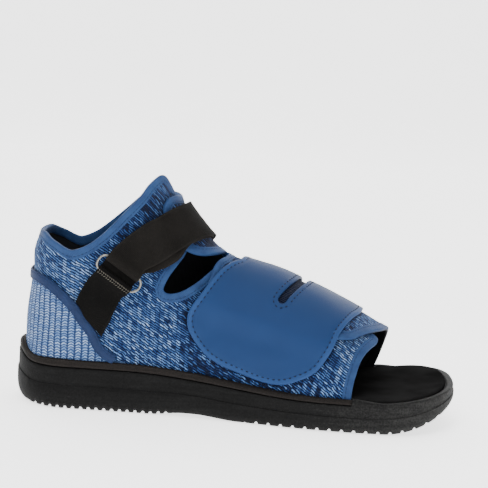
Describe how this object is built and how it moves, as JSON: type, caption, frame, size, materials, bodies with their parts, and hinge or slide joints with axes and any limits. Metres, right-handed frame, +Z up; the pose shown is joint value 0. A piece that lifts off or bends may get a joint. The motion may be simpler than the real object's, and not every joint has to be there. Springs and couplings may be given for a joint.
{
  "type": "post-operative shoe",
  "caption": "Open-toe, ankle-high knit post-operative shoe with an ankle strap through a ring, a wide closure panel over the forefoot and a thick flat lugged sole.",
  "frame": {"origin": "on the floor plane, at the middle of the flat patch under the heel", "axes": "+X towards the toe, +Y towards the medial (big toe) side, +Z up"},
  "size_m": [0.29, 0.1054, 0.1544],
  "materials": {
    "sole": "matt moulded foam",
    "rand": "matt",
    "insole": "smooth, matt",
    "knit": "melange knit",
    "tape": "smooth woven tape",
    "panel": "satin, coated",
    "webbing": "matt brushed webbing",
    "ring_metal": "nickel plated"
  },
  "bodies": {
    "root": {"outsole": "sole", "rand": "rand", "insole": "insole", "upper": "knit", "collar_binding": "tape", "throat_binding": "tape", "vamp_binding": "tape", "flap_binding": "tape", "toe_binding": "tape", "counter_tape": "tape", "closure_panel": "panel", "strap_tab": "webbing", "ankle_strap": "webbing", "strap_ring": "ring_metal"}
  },
  "joints": []
}
